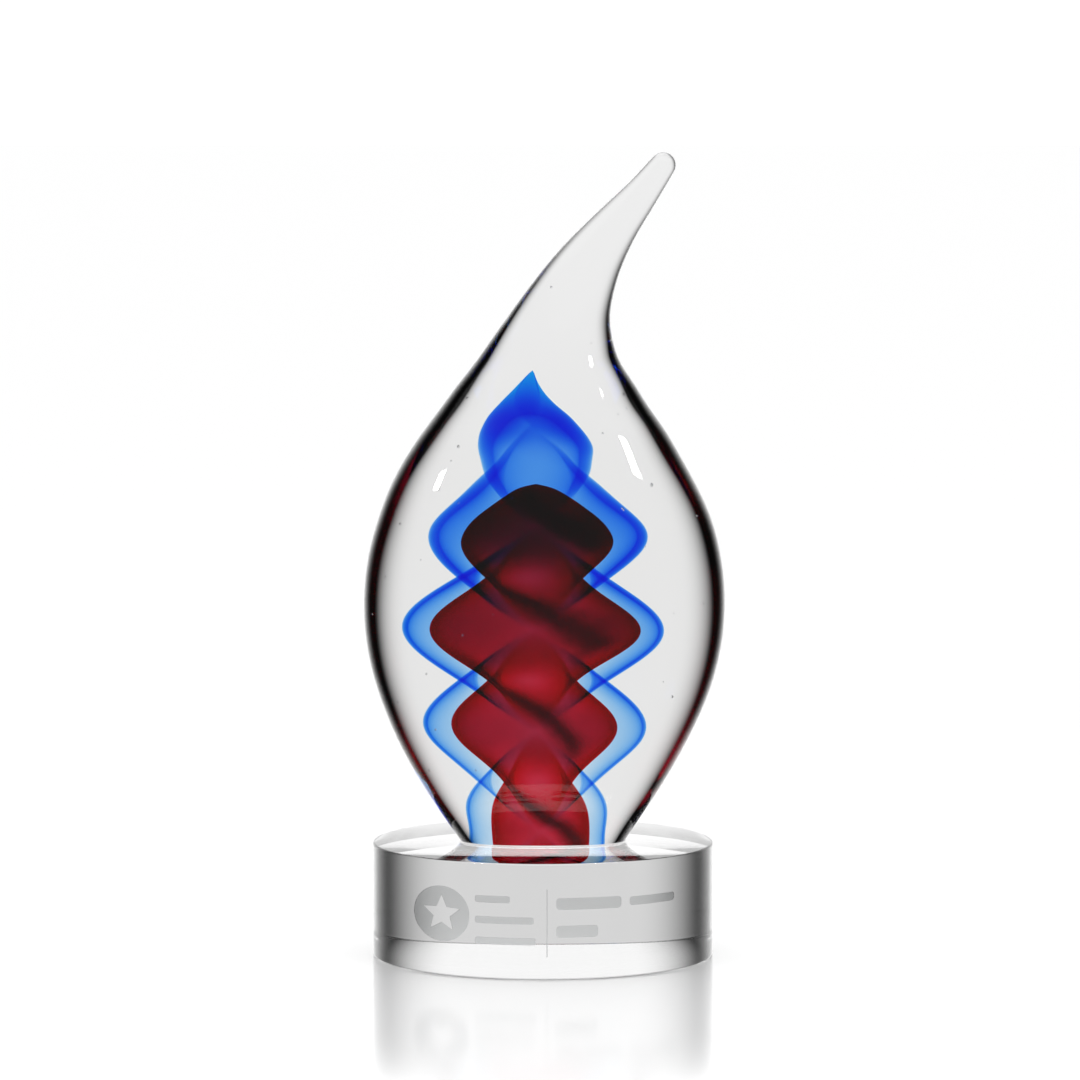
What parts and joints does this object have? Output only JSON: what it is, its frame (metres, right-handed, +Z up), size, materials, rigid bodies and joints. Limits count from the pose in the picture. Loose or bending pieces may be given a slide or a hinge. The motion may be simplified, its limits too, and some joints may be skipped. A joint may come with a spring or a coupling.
{
  "type": "crystal award",
  "caption": "Clear glass flame with a leaning tip and a twisted blue and red core, bonded upright on a round polished crystal base.",
  "frame": {"origin": "centre of the round base's underside", "axes": "+Z up through the flame, front towards -Y, the flame's tip leans towards +X"},
  "size_m": [0.0955, 0.09, 0.212],
  "materials": {
    "base_crystal": "polished, flat ground underside",
    "clear_resin": "clear cured film",
    "clear_glass": "fire polished",
    "blue_glass": "transparent cobalt blue",
    "red_glass": "transparent ruby red"
  },
  "bodies": {
    "root": {"base_disc": "base_crystal", "adhesive_film": "clear_resin", "flame_casing": "clear_glass", "blue_layer": "blue_glass", "clear_interlayer": "clear_glass", "red_layer": "red_glass", "core_gather": "clear_glass"}
  },
  "joints": []
}
